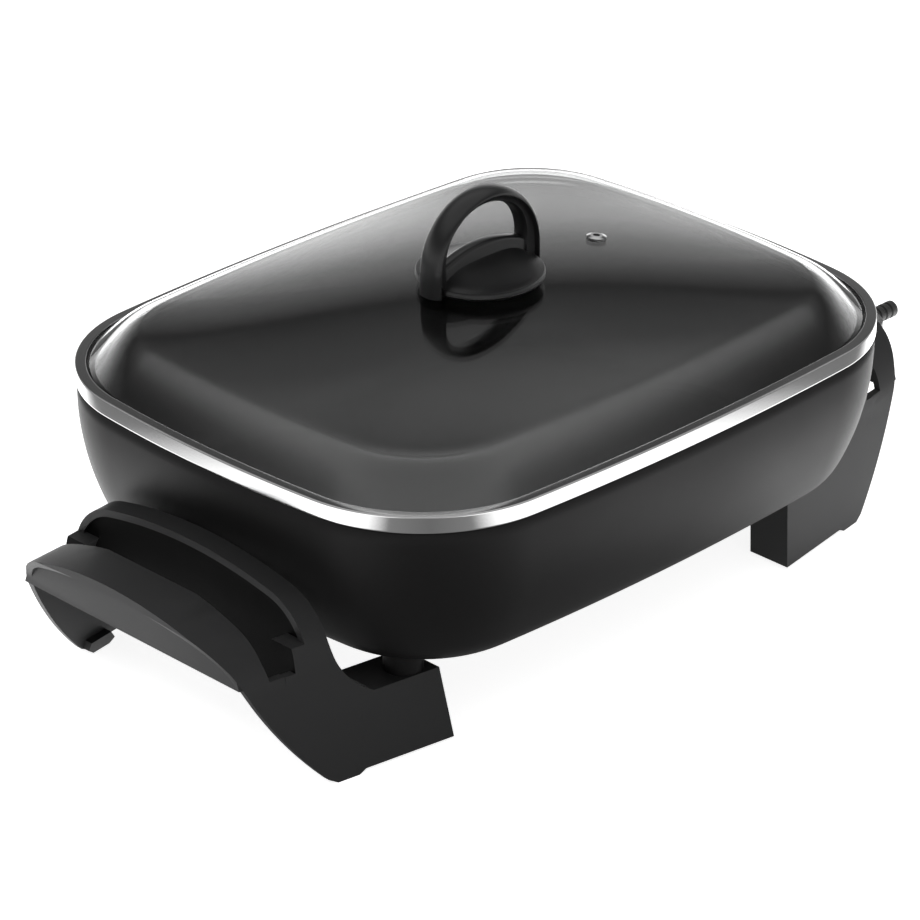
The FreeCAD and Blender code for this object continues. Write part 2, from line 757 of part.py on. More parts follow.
grommet.Placement = FreeCAD.Placement(grommet.Placement.Base, tilt)


# Knob: a round saucer, an arched loop and the spine that keeps fingers off the screw

GLASS_TOP = EDGE_TOP + size("shoulder_rise") + crown_lift(CROWN_SCALES[-1])


def make_knob():
    seat = GLASS_TOP + size("knob_stand")
    radius = size("saucer_radius")
    edge = size("saucer_edge")
    top = GLASS_TOP + size("arch_height")
    arch_radius = size("arch_radius")
    centre = top - arch_radius
    low = seat + 0.8
    saucer_points = [V(0, 0, seat), V(9.0, 0, seat), V(9.0, 0, low + 1.2), V(radius - 4.0, 0, low + 0.4),
                     V(radius, 0, low + 2.4), V(radius - 0.6, 0, low + edge), V(radius - 2.5, 0, low + edge + 0.4)]
    edges = [Part.makeLine(near, far) for near, far in zip(saucer_points, saucer_points[1:])]
    inner = V(4.0, 0, low + edge + size("saucer_rise"))
    sag = V(radius * 0.45, 0, low + edge + size("saucer_rise") * 0.3)
    edges.append(Part.makeLine(saucer_points[-1], sag))
    edges.append(Part.makeLine(sag, inner))
    edges.append(Part.makeLine(inner, V(0, 0, inner.z)))
    edges.append(Part.makeLine(V(0, 0, inner.z), saucer_points[0]))
    saucer = Part.Face(Part.Wire(edges)).revolve(V(0, 0, 0), V(0, 0, 1), 360)

    def loop_side(reach, foot, depth):
        """An upright arch outline of this half span, from the foot's height, this deep across."""
        wire = Part.Wire([
            Part.makeLine(V(-reach, 0, foot), V(reach, 0, foot)),
            Part.makeLine(V(reach, 0, foot), V(reach, 0, centre)),
            Part.Arc(V(reach, 0, centre), V(0, 0, centre + reach), V(-reach, 0, centre)).toShape(),
            Part.makeLine(V(-reach, 0, centre), V(-reach, 0, foot)),
        ])
        face = Part.Face(wire)
        face.translate(V(0, -depth / 2, 0))
        return face.extrude(V(0, depth, 0))

    depth = size("arch_depth")
    foot = low + 0.6
    loop = size("loop_radius")
    step = arch_radius - 4.5
    arch_solid = loop_side(arch_radius, foot, depth).cut(loop_side(step, foot - 5.0, depth + 2.0))
    crest = [edge for edge in arch_solid.Edges
             if edge.BoundBox.ZMax > centre and abs(abs(edge.BoundBox.YMax) - depth / 2) < 0.01
             and abs(edge.BoundBox.YMax - edge.BoundBox.YMin) < 0.01 and edge.BoundBox.XLength > 2 * step + 1]
    arch_solid = arch_solid.makeChamfer(2.2, crest)
    ridge = loop_side(step + 0.5, foot + 1.0, depth - 6.0).cut(loop_side(loop, foot - 5.0, depth))
    opening = size("loop_half_width")
    cheeks = box(-loop - 1.0, loop + 1.0, -(depth - 6.0) / 2, (depth - 6.0) / 2, foot + 1.0, centre + 8.0)
    cheeks = cheeks.cut(loop_side(loop, foot - 5.0, depth)).fuse(
        loop_side(loop + 0.5, foot + 1.0, depth - 6.0).cut(box(-opening, opening, -depth, depth, low, top)))
    spine_top = seat + size("spine_height")
    width = size("spine_width")
    spine_wire = Part.Wire([
        Part.makeLine(V(-opening - 1, 0, low + edge - 3), V(opening + 1, 0, low + edge - 3)),
        Part.makeLine(V(opening + 1, 0, low + edge - 3), V(opening + 1, 0, spine_top - 6.0)),
        Part.Arc(V(opening + 1, 0, spine_top - 6.0), V(0, 0, spine_top),
                 V(-opening - 1, 0, spine_top - 6.0)).toShape(),
        Part.makeLine(V(-opening - 1, 0, spine_top - 6.0), V(-opening - 1, 0, low + edge - 3)),
    ])
    spine_face = Part.Face(spine_wire)
    spine_face.translate(V(0, -width / 2, 0))
    spine = spine_face.extrude(V(0, width, 0))
    shape = saucer.fuse([arch_solid, ridge, cheeks, spine])
    shape = shape.cut(upright(size("screw_radius"), 0, 0, seat - 1.0, seat + size("screw_depth")))
    return one_solid(shape)


feature("lid_knob", make_knob())

UNDER_GLASS = GLASS_TOP - size("glass_thickness")
turned("knob_seal", [
    ("Sizes.screw_hole_radius", "0"),
    ("8.5", "0"),
    ("8.5", "Sizes.knob_stand"),
    ("Sizes.screw_hole_radius", "Sizes.knob_stand"),
], ("0", "0", str(GLASS_TOP)))
turned("knob_washer", [
    ("Sizes.screw_hole_radius", "0"),
    ("8.0", "0"),
    ("8.0", "-Sizes.washer_thickness"),
    ("Sizes.screw_hole_radius", "-Sizes.washer_thickness"),
], ("0", "0", str(UNDER_GLASS)))
turned("knob_screw", [
    ("0", "Sizes.glass_thickness + Sizes.knob_stand + Sizes.screw_depth - 1.0"),
    ("Sizes.screw_radius - 0.1", "Sizes.glass_thickness + Sizes.knob_stand + Sizes.screw_depth - 1.0"),
    ("Sizes.screw_radius - 0.1", "-Sizes.washer_thickness"),
    ("Sizes.screw_head_radius", "-Sizes.washer_thickness"),
    ("Sizes.screw_head_radius - 1.0", "-Sizes.washer_thickness - Sizes.screw_head_height"),
    ("0", "-Sizes.washer_thickness - Sizes.screw_head_height"),
], ("0", "0", str(UNDER_GLASS)))


# Plug-in temperature control: two housing halves round the probe, contacts, thermostat and lamp

def control_plan(shrink):
    """The control's plan: a nose that enters the guard, a wide body and a tapered tail."""
    nose = size("nose_half_width") - shrink
    body = size("body_half_width") - shrink
    tail = size("tail_half_width") - shrink
    start = size("nose_start") + shrink
    shoulder = size("body_start") + shrink
    end = size("tail_end") - shrink
    middle_x = (size("body_end") + end) / 2 + 3.0
    middle_y = (body + tail) / 2 + 4.0
    half = [
        Part.makeLine(V(start, 0, 0), V(start, nose, 0)),
        Part.makeLine(V(start, nose, 0), V(shoulder - 2.0, nose, 0)),
        Part.makeLine(V(shoulder - 2.0, nose, 0), V(shoulder, body, 0)),
        Part.makeLine(V(shoulder, body, 0), V(size("body_end"), body, 0)),
        Part.Arc(V(size("body_end"), body, 0), V(middle_x, middle_y, 0), V(end, tail, 0)).toShape(),
        Part.makeLine(V(end, tail, 0), V(end, 0, 0)),
    ]
    other = [edge.mirror(V(0, 0, 0), V(0, 1, 0)) for edge in half]
    return Part.Face(Part.Wire(Part.__sortEdges__(half + other)))


def control_mass(shrink):
    half_height = size("body_half_height") - shrink
    blank = control_plan(shrink)
    blank.translate(V(0, 0, PLUG_HEIGHT - half_height))
    solid = blank.extrude(V(0, 0, 2 * half_height))
    nose_height = size("nose_half_height") - shrink
    slimming = box(size("nose_start") - 5.0, size("body_start") - 1.0 + shrink, -60, 60, 0, 120)
    core = box(size("nose_start") - 5.0, size("body_start") + shrink, -60, 60,
               PLUG_HEIGHT - nose_height, PLUG_HEIGHT + nose_height)
    solid = solid.cut(slimming.cut(core))
    corner = size("housing_corner")
    far = size("tail_end") - shrink
    fall = 4.5
    for sign in (-1, 1):
        edge_z = PLUG_HEIGHT + sign * half_height
        wedge = side_prism([(size("body_end") - 6.0, edge_z), (far + 5.0, edge_z - sign * fall * 1.2),
                            (far + 5.0, edge_z + sign * 8.0), (size("body_end") - 6.0, edge_z + sign * 8.0)])
        solid = solid.cut(wedge)
    long_edges = [edge for edge in solid.Edges
                  if abs(abs(edge.CenterOfMass.z - PLUG_HEIGHT) - half_height) < 0.01
                  and abs(edge.CenterOfMass.y) > 5.0]
    return solid.makeFillet(max(corner - shrink, 1.0) * 0.5, long_edges)


def make_housings():
    shell = control_mass(0.0).cut(control_mass(size("housing_wall")))
    start = size("nose_start")
    contact = size("pin_radius") + size("contact_clearance") + size("contact_wall")
    for y_sign in (-1, 1):
        shell = shell.cut(rod(contact, start - 2.0, start + 6.0, y_sign * size("pin_spread"), PLUG_HEIGHT))
    shell = shell.cut(rod(size("stem_radius") + 0.1, start - 2.0, start + 6.0, 0, PLUG_HEIGHT))
    shell = shell.cut(rod(size("gland_body_radius") + 0.1, size("tail_end") - 8.0, size("tail_end") + 2.0,
                          0, PLUG_HEIGHT))
    top = PLUG_HEIGHT + size("body_half_height")
    shell = shell.cut(upright(size("shaft_radius") + 0.3, size("dial_along"), 0, PLUG_HEIGHT, top + 3.0))
    shell = shell.cut(upright(size("lamp_radius"), size("lamp_along"), 0, PLUG_HEIGHT, top + 3.0))
    pieces = []
    x = size("body_start") + size("housing_screw_along")
    across = size("body_half_width") - size("housing_screw_inset")
    for sign in (-1, 1):
        boss = upright(3.4, x, sign * across, PLUG_HEIGHT - size("body_half_height") + 1.0,
                       PLUG_HEIGHT + size("body_half_height") - 1.0)
        pieces.append(boss)
    shell = shell.fuse(pieces)
    for sign in (-1, 1):
        y = sign * across
        shell = shell.cut(upright(1.7, x, y, PLUG_HEIGHT - 30.0, PLUG_HEIGHT + 8.0))
        shell = shell.cut(upright(2.9, x, y, PLUG_HEIGHT - 30.0, PLUG_HEIGHT - size("body_half_height") + 2.2))
    far = size("tail_end") + size("body_half_width")
    upper = shell.common(box(0, far, -far, far, PLUG_HEIGHT, PLUG_HEIGHT + far))
    lower = shell.common(box(0, far, -far, far, PLUG_HEIGHT - far, PLUG_HEIGHT))
    return one_solid(upper), one_solid(lower)


upper_housing, lower_housing = make_housings()
feature("control_housing_top", upper_housing)
feature("control_housing_bottom", lower_housing)


def make_housing_screws():
    items = []
    base = PLUG_HEIGHT - size("body_half_height")
    for sign in (-1, 1):
        x = size("body_start") + size("housing_screw_along")
        y = sign * (size("body_half_width") - size("housing_screw_inset"))
        head = upright(2.8, x, y, base + 0.3, base + 2.2)
        shank = upright(1.6, x, y, base + 2.2, PLUG_HEIGHT + 7.0)
        items.append(one_solid(head.fuse(shank)))
    return Part.makeCompound(items)


feature("housing_screws", make_housing_screws())

turned("probe_stem", [
    ("0", "0"),
    ("Sizes.stem_radius - 1.2", "0"),
    ("Sizes.stem_radius", "3"),
    ("Sizes.stem_radius", "Sizes.body_start - Sizes.stem_tip"),
    ("Sizes.stem_radius + 1.5", "Sizes.body_start - Sizes.stem_tip"),
    ("Sizes.stem_radius + 1.5", "Sizes.body_start - Sizes.stem_tip + 4"),
    ("0", "Sizes.body_start - Sizes.stem_tip + 4"),
], ("Sizes.stem_tip", "0", "Sizes.plug_height"), axis="x")


def make_contacts():
    items = []
    start = size("nose_start") + 0.5
    outer = size("pin_radius") + size("contact_clearance") + size("contact_wall") - 0.1
    inner = size("pin_radius") + size("contact_clearance")
    for sign in (-1, 1):
        y = sign * size("pin_spread")
        tube = rod(outer, start, start + size("contact_length"), y, PLUG_HEIGHT)
        tube = tube.cut(rod(inner, start - 1.0, start + size("contact_length") - 3.0, y, PLUG_HEIGHT))
        items.append(one_solid(tube))
    return Part.makeCompound(items)


feature("socket_contacts", make_contacts())


def make_terminal_block():
    """The ceramic block that the contacts and the stem are fixed in."""
    start = size("nose_start") + 0.5 + size("contact_length")
    half_width = size("block_half_width")
    block = box(start, start + size("block_length"), -half_width, half_width, PLUG_HEIGHT - 7.0,
                PLUG_HEIGHT + 6.0)
    for sign in (-1, 1):
        block = block.cut(box(start + 5.0, start + 9.0, sign * 10.0 - 4.0, sign * 10.0 + 4.0,
                              PLUG_HEIGHT + 3.0, PLUG_HEIGHT + 7.0))
    return one_solid(block)


BLOCK_END = size("nose_start") + 0.5 + size("contact_length") + size("block_length")
STRIP_HALF = size("strip_half_width")
STRIP_SHEET = size("strip_sheet")
feature("terminal_block", make_terminal_block())
feature("bimetal_strip", box(BLOCK_END, size("dial_along") + 6.0, -STRIP_HALF, STRIP_HALF,
                             PLUG_HEIGHT - 6.0, PLUG_HEIGHT - 6.0 + STRIP_SHEET))
arm = box(BLOCK_END, size("dial_along") + 4.0, 1.0 - STRIP_HALF, STRIP_HALF - 1.0,
          PLUG_HEIGHT - 2.0, PLUG_HEIGHT - 2.0 + STRIP_SHEET)
point = upright(2.0, size("dial_along"), 0, PLUG_HEIGHT - 5.7 + STRIP_SHEET, PLUG_HEIGHT - 2.0)
feature("contact_arm", one_solid(arm.fuse(point)))

turned("pilot_lamp", [
    ("0", "0"),
    ("1.9", "0"),
    ("1.9", "5"),
    ("0", "6.5"),
], ("Sizes.lamp_along", "0", "Sizes.plug_height - 2.5"))
LAMP_TOP = PLUG_HEIGHT + size("body_half_height") - 4.5
turned("lamp_lens", [
    ("0", "-3.2"),
    ("Sizes.lamp_radius - 0.1", "-3.2"),
    ("Sizes.lamp_radius - 0.1", "1.6"),
    ("Sizes.lamp_radius - 1.0", "2.4"),
    ("0", "2.4"),
], ("Sizes.lamp_along", "0", str(LAMP_TOP)))


def make_gland():
    """The strain relief where the cord leaves the control: a collar and a ribbed sleeve, bored through."""
    end = size("tail_end")
    reach = size("gland_reach")
    body = size("gland_body_radius")
    collar = size("gland_ring_radius")
    shape = rod(body, end - 6.0, end + reach, 0, PLUG_HEIGHT)
    shape = shape.fuse(rod(collar, end + 0.3, end + 5.0, 0, PLUG_HEIGHT))
    for groove in range(3):
        start = end + 8.0 + groove * 5.0
        cutter = rod(collar, start, start + 1.6, 0, PLUG_HEIGHT).cut(rod(body - 1.0, start, start + 1.6,
                                                                        0, PLUG_HEIGHT))
        shape = shape.cut(cutter)
    shape = shape.cut(rod(size("gland_bore"), end - 8.0, end + reach + 1.0, 0, PLUG_HEIGHT))
    return one_solid(shape)


feature("cord_gland", make_gland())


# Temperature dial on its shaft

DIAL_SEAT = PLUG_HEIGHT + size("body_half_height") + size("dial_gap")


def make_dial():
    radius = size("dial_radius")
    height = size("dial_height")
    x = size("dial_along")
    disc = upright(radius, x, 0, DIAL_SEAT, DIAL_SEAT + 3.0)
    grip = upright(radius - 5.0, x, 0, DIAL_SEAT + 3.0, DIAL_SEAT + height)
    shape = disc.fuse(grip)
    count = 12
    for index in range(count):
        angle = 2 * math.pi * index / count
        notch = upright(1.1, x + (radius - 4.6) * math.cos(angle), (radius - 4.6) * math.sin(angle),
                        DIAL_SEAT + 3.2, DIAL_SEAT + height + 1.0)
        shape = shape.cut(notch)
    shape = shape.cut(upright(size("shaft_radius"), x, 0, DIAL_SEAT - 1.0, DIAL_SEAT + height - 3.0))
    return one_solid(shape)


feature("temperature_dial", make_dial())
turned("dial_shaft", [
    ("0", "0"),
    ("Sizes.shaft_radius", "0"),
    ("Sizes.shaft_radius", "-Sizes.shaft_length"),
    ("0", "-Sizes.shaft_length"),
], ("Sizes.dial_along", "0", str(DIAL_SEAT + size("dial_height") - 3.0)))


# Every sub-part is checked before its solid is written

doc.recompute()
helpers = ("handle_screw_pattern", "handle_washer_pattern")
parts = []
for item in doc.Objects:
    if "Invalid" in item.State or "Error" in item.State:
        raise RuntimeError("failed object: " + item.Label)
    if item.TypeId in ("PartDesign::Body", "Part::Feature") and item.Label not in helpers:
        parts.append(item)

os.makedirs("parts", exist_ok=True)
for item in parts:
    shape = item.Shape
    if shape.isNull() or not shape.isValid() or not shape.Solids:
        raise RuntimeError("bad shape: " + item.Label)
    shape.exportStep("parts/%s.step" % item.Label)
    extent = shape.BoundBox
    print("%-24s solids %d volume %9.0f  x %.1f %.1f  y %.1f %.1f  z %.1f %.1f" % (
        item.Label, len(shape.Solids), shape.Volume, extent.XMin, extent.XMax, extent.YMin, extent.YMax,
        extent.ZMin, extent.ZMax))
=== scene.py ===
import bmesh
import bpy
import math
from mathutils import Matrix, Vector


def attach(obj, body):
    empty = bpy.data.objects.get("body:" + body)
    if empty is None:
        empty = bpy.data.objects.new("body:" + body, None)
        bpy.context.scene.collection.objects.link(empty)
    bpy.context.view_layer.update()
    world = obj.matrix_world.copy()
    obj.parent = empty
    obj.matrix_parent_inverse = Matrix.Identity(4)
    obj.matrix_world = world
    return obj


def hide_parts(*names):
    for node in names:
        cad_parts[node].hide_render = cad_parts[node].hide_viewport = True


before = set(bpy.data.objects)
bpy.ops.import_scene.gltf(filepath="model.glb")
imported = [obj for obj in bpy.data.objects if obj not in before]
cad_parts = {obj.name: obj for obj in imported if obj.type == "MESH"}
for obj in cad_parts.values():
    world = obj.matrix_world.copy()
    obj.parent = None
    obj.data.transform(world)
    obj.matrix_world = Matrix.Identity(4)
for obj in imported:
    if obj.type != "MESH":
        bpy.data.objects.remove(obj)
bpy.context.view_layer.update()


# Camera at the photograph's angle. It looks down on the near left corner from far off, through a long
# lens, so the sides of the object hardly draw together.
camera_azimuth = math.radians(-44.974)
camera_elevation = math.radians(26.853)
camera_distance = 2.4464
camera_target = Vector((0.0086, 0.02375, 0.06397))
camera_data = bpy.data.cameras.new("studio_camera")
camera_data.sensor_width = 36.0
camera_data.lens = 175.21
camera_back = Vector((math.sin(camera_azimuth) * math.cos(camera_elevation),
                      -math.cos(camera_azimuth) * math.cos(camera_elevation),
                      math.sin(camera_elevation)))
studio_camera = bpy.data.objects.new("studio_camera", camera_data)
studio_camera.location = camera_target + camera_back * camera_distance
studio_camera.rotation_euler = (-camera_back).to_track_quat("-Z", "Y").to_euler()
bpy.context.scene.collection.objects.link(studio_camera)
bpy.context.scene.camera = studio_camera
bpy.context.scene.view_settings.view_transform = "Standard"


# Studio: a floor of white paper, a white horizon, a dim band above it and a broad soft light overhead.
# The camera sees plain paper. What lights the object and shows in its steel and glass is dimmer paper
# with two long bright cards on it, one to the left and one to the right.
def new_tree(material):
    material.use_nodes = True
    tree = material.node_tree
    tree.nodes.clear()
    return tree


def link(tree, source, output, target, entry):
    tree.links.new(source.outputs[output], target.inputs[entry])


def grey_ramp(tree, steps):
    """A ramp that passes through these places and grey levels."""
    ramp = tree.nodes.new("ShaderNodeValToRGB")
    while len(ramp.color_ramp.elements) < len(steps):
        ramp.color_ramp.elements.new(0.5)
    for element, (place, level) in zip(ramp.color_ramp.elements, steps):
        element.position = place
        element.color = (level, level, level, 1)
    return ramp


floor_mesh = bpy.data.meshes.new("studio_floor")
floor_reach = 6.0
floor_mesh.from_pydata([(-floor_reach, -floor_reach, 0), (floor_reach, -floor_reach, 0),
                        (floor_reach, floor_reach, 0), (-floor_reach, floor_reach, 0)], [], [(0, 1, 2, 3)])
studio_floor = bpy.data.objects.new("studio_floor", floor_mesh)
bpy.context.scene.collection.objects.link(studio_floor)
paper = bpy.data.materials.new("white_paper")
tree = new_tree(paper)
paper_shader = tree.nodes.new("ShaderNodeBsdfPrincipled")
paper_shader.inputs["Base Color"].default_value = (0.9, 0.9, 0.9, 1)
paper_shader.inputs["Roughness"].default_value = 0.95
paper_shader.inputs["Specular IOR Level"].default_value = 0.0
paper_shader.inputs["Emission Color"].default_value = (1, 1, 1, 1)
paper_shader.inputs["Emission Strength"].default_value = 0.85
paper_place = tree.nodes.new("ShaderNodeTexCoord")
paper_axes = tree.nodes.new("ShaderNodeSeparateXYZ")
paper_across = tree.nodes.new("ShaderNodeMath")
paper_across.operation = "SUBTRACT"
paper_away = tree.nodes.new("ShaderNodeMath")
paper_away.operation = "ABSOLUTE"
paper_glow = grey_ramp(tree, [(0.0, 0.1), (0.22, 0.14), (0.36, 1.0), (0.57, 1.0), (0.66, 0.12), (1.0, 0.1)])
link(tree, paper_place, "Object", paper_axes, "Vector")
tree.links.new(paper_axes.outputs["X"], paper_across.inputs[0])
tree.links.new(paper_axes.outputs["Y"], paper_across.inputs[1])
tree.links.new(paper_across.outputs["Value"], paper_away.inputs[0])
link(tree, paper_away, "Value", paper_glow, "Fac")
paper_cards = tree.nodes.new("ShaderNodeEmission")
paper_cards.inputs["Strength"].default_value = 3.2
link(tree, paper_glow, "Color", paper_cards, "Color")
paper_ray = tree.nodes.new("ShaderNodeLightPath")
paper_seen = tree.nodes.new("ShaderNodeMath")
paper_seen.operation = "MAXIMUM"
tree.links.new(paper_ray.outputs["Is Camera Ray"], paper_seen.inputs[0])
tree.links.new(paper_ray.outputs["Is Transmission Ray"], paper_seen.inputs[1])
paper_choice = tree.nodes.new("ShaderNodeMixShader")
link(tree, paper_seen, "Value", paper_choice, "Fac")
tree.links.new(paper_cards.outputs["Emission"], paper_choice.inputs[1])
tree.links.new(paper_shader.outputs["BSDF"], paper_choice.inputs[2])
paper_out = tree.nodes.new("ShaderNodeOutputMaterial")
link(tree, paper_choice, "Shader", paper_out, "Surface")
floor_mesh.materials.append(paper)

world = bpy.data.worlds.new("studio_world")
bpy.context.scene.world = world
tree = new_tree(world)
world_direction = tree.nodes.new("ShaderNodeTexCoord")
world_height = tree.nodes.new("ShaderNodeSeparateXYZ")
world_ramp = grey_ramp(tree, [(0.0, 0.7), (0.05, 1.0), (0.14, 0.75), (0.28, 0.32),
                              (0.45, 0.05), (0.58, 0.14), (0.78, 0.58), (1.0, 0.5)])
world_light = tree.nodes.new("ShaderNodeBackground")
world_out = tree.nodes.new("ShaderNodeOutputWorld")
link(tree, world_direction, "Generated", world_height, "Vector")
link(tree, world_height, "Z", world_ramp, "Fac")
link(tree, world_ramp, "Color", world_light, "Color")
link(tree, world_light, "Background", world_out, "Surface")
world_light.inputs["Strength"].default_value = 1.9


# Pan: one aluminium casting whose walls curve in to a rounded bottom, with four posts and a socket boss
# underneath. It is sprayed with a dark matte coating inside and out.
half_length, half_width = 0.200, 0.159
long_bow, short_bow, corner_bow = 1.723, 0.847, 0.085
long_centre = Vector((0, half_width - long_bow))
short_centre = Vector((half_length - short_bow, 0))


def crossing(first, first_radius, second, second_radius):
    """The upper right point at these distances from two centres."""
    span = second - first
    along = (first_radius ** 2 - second_radius ** 2 + span.length_squared) / (2 * span.length)
    lift = math.sqrt(first_radius ** 2 - along ** 2)
    unit = span.normalized()
    square = Vector((-unit.y, unit.x))
    return max((first + unit * along + square * lift, first + unit * along - square * lift),
               key=lambda point: point.x + point.y)


corner_centre = crossing(long_centre, long_bow - corner_bow, short_centre, short_bow - corner_bow)
corner_start = math.atan2(*(corner_centre - short_centre).yx)
corner_end = math.atan2(*(corner_centre - long_centre).yx)


def rim_loop(inset, height, scale=1.0, steps=(6, 18, 8)):
    """The rim outline moved inwards by inset: bowed sides and corner arcs, drawn by the angle they face."""
    spans = [(0.0, corner_start, short_centre, short_bow),
             (corner_start, corner_end, corner_centre, corner_bow),
             (corner_end, math.pi / 2, long_centre, long_bow)]
    quarter = []
    for (start, end, centre, bow), count in zip(spans, steps):
        for step in range(count):
            angle = start + (end - start) * step / count
            quarter.append(centre + Vector((math.cos(angle), math.sin(angle))) * (bow - inset))
    quarter.append(Vector((0, half_width - inset)))
    upper = quarter + [Vector((-point.x, point.y)) for point in reversed(quarter[:-1])]
    whole = upper + [Vector((point.x, -point.y)) for point in reversed(upper[1:-1])]
    return [(point.x * scale, point.y * scale, height) for point in whole]


def loft(work, loops, start_cap=True):
    """Quads between loops that have the same number of points, and a face over the last loop."""
    rows = [[work.verts.new(point) for point in points] for points in loops]
    for near, far in zip(rows, rows[1:]):
        for index in range(len(near)):
            follower = (index + 1) % len(near)
            work.faces.new((near[index], near[follower], far[follower], far[index]))
    if start_cap:
        work.faces.new(list(reversed(rows[0])))
    work.faces.new(rows[-1])


def placed(work, name, sharp=35.0, outward=True):
    """A smooth shaded object of this mesh, with creases above this many degrees kept sharp."""
    if outward:
        bmesh.ops.recalc_face_normals(work, faces=work.faces)
    mesh = bpy.data.meshes.new(name)
    work.to_mesh(mesh)
    work.free()
    mesh.polygons.foreach_set("use_smooth", [True] * len(mesh.polygons))
    mesh.set_sharp_from_angle(angle=math.radians(sharp))
    piece = bpy.data.objects.new(name, mesh)
    bpy.context.scene.collection.objects.link(piece)
    return piece


def merged_copy(node):
    """A node's solid with its loose triangles joined at their corners."""
    work = bmesh.new()
    work.from_mesh(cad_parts[node].data)
    bmesh.ops.remove_doubles(work, verts=work.verts, dist=2e-6)
    return work


grain_depth, patch_scale = 0.0004, 14.0


def surface(name, colour, roughness, grain, bump, metallic=0.0, spread=0.08, tone=0.15, shine=0.5):
    """A finish with this many grains a metre in its tone and relief, and broad patches in its gloss."""
    material = bpy.data.materials.new(name)
    tree = new_tree(material)
    place = tree.nodes.new("ShaderNodeTexCoord")
    fine = tree.nodes.new("ShaderNodeTexNoise")
    fine.inputs["Scale"].default_value = grain
    fine.inputs["Detail"].default_value = 3.0
    broad = tree.nodes.new("ShaderNodeTexNoise")
    broad.inputs["Scale"].default_value = patch_scale
    broad.inputs["Detail"].default_value = 4.0
    for texture in (fine, broad):
        link(tree, place, "Object", texture, "Vector")
    gloss = tree.nodes.new("ShaderNodeMapRange")
    gloss.inputs["To Min"].default_value = max(roughness - spread, 0.02)
    gloss.inputs["To Max"].default_value = min(roughness + spread, 1.0)
    link(tree, broad, "Fac", gloss, "Value")
    shade = tree.nodes.new("ShaderNodeMix")
    shade.data_type = "RGBA"
    shade.inputs["A"].default_value = (*[channel * (1.0 - tone) for channel in colour], 1)
    shade.inputs["B"].default_value = (*[channel * (1.0 + tone) for channel in colour], 1)
    link(tree, fine, "Fac", shade, "Factor")
    relief = tree.nodes.new("ShaderNodeBump")
    relief.inputs["Strength"].default_value = bump
    relief.inputs["Distance"].default_value = grain_depth
    link(tree, fine, "Fac", relief, "Height")
    shader = tree.nodes.new("ShaderNodeBsdfPrincipled")
    shader.inputs["Metallic"].default_value = metallic
    shader.inputs["Specular IOR Level"].default_value = shine
    link(tree, shade, "Result", shader, "Base Color")
    link(tree, gloss, "Result", shader, "Roughness")
    link(tree, relief, "Normal", shader, "Normal")
    out = tree.nodes.new("ShaderNodeOutputMaterial")
    link(tree, shader, "BSDF", out, "Surface")
    return material


pan_top, pan_under, pan_floor = 0.1424, 0.053, 0.059
wall_bow, wall_top, wall_centre_inset = 0.150, 0.135, 0.1506
pan_wall, under_bow, floor_bow, rim_round = 0.0032, 0.029, 0.024, 0.0006


def wall_profile(bottom, bottom_bow, offset):
    """The wall from its bottom edge up, as insets and heights: a tight arc, then the long wall arc."""
    bow = wall_bow - offset
    fall = wall_top - bottom - bottom_bow
    between = bow - bottom_bow
    turn = math.asin(fall / between)
    arc_inset = wall_centre_inset - math.sqrt(between ** 2 - fall ** 2)
    points = []
    for step in range(12):
        angle = math.pi / 2 + (turn - math.pi / 2) * step / 12
        points.append((arc_inset - bottom_bow * math.cos(angle),
                       bottom + bottom_bow * (1 - math.sin(angle))))
    for step in range(17):
        angle = turn * (1 - step / 16)
        points.append((wall_centre_inset - bow * math.cos(angle), wall_top - bow * math.sin(angle)))
    return points


outside = wall_profile(pan_under, under_bow, 0.0)
inside = wall_profile(pan_floor, floor_bow, pan_wall)
outer_edge = outside[-1][0]
inner_edge = inside[-1][0]
rim = [(outer_edge, pan_top - rim_round), (outer_edge + rim_round, pan_top),
       (inner_edge - rim_round, pan_top), (inner_edge, pan_top - rim_round)]
boss_side, boss_start, boss_top = 0.0236, 0.1455, 0.0623
post_place, post_reach = Vector((0.147, 0.091)), 0.0107
under_inset = outside[0][0]
groove_top = 0.0565


def inset_at(x, y):
    """How far a point lies inside the rim outline."""
    point = Vector((abs(x), abs(y)))
    sides = min(long_bow - (point - long_centre).length, short_bow - (point - short_centre).length)
    facing = math.atan2(*(point - corner_centre).yx)
    if corner_start < facing < corner_end:
        return corner_bow - (point - corner_centre).length
    return sides


# The plain solid keeps its underside. Its skin makes room for the smooth one.
work = merged_copy("pan")
skin = []
for face in work.faces:
    centre = face.calc_center_median()
    near_post = (Vector((abs(centre.x), abs(centre.y))) - post_place).length < post_reach
    in_boss = centre.x > boss_start and abs(centre.y) < boss_side and centre.z < boss_top
    on_bottom_arc = inset_at(centre.x, centre.y) < under_inset and centre.z > pan_under
    if not in_boss and (centre.z > groove_top or (on_bottom_arc and not near_post)):
        skin.append(face)
bmesh.ops.delete(work, geom=skin, context="FACES")
profile = outside + rim + list(reversed(inside))
loft(work, [rim_loop(inset, height) for inset, height in profile], start_cap=False)
pan_casting = placed(work, "pan_casting", outward=False)
pan_coating = surface("pan_coating", (0.0062, 0.0060, 0.0061), 0.48, 2600.0, 0.22, shine=0.12)
pan_casting.data.materials.append(pan_coating)
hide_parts("pan")
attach(pan_casting, "base")


# Heating element: a bent steel tube pressed into the rib under the pan. Two nickel pins in ceramic bushes
# carry it to the socket, inside a pressed steel guard.
def coated(node, material):
    """A node's own solid with its real finish."""
    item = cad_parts[node]
    item.data.materials.clear()
    item.data.materials.append(material)


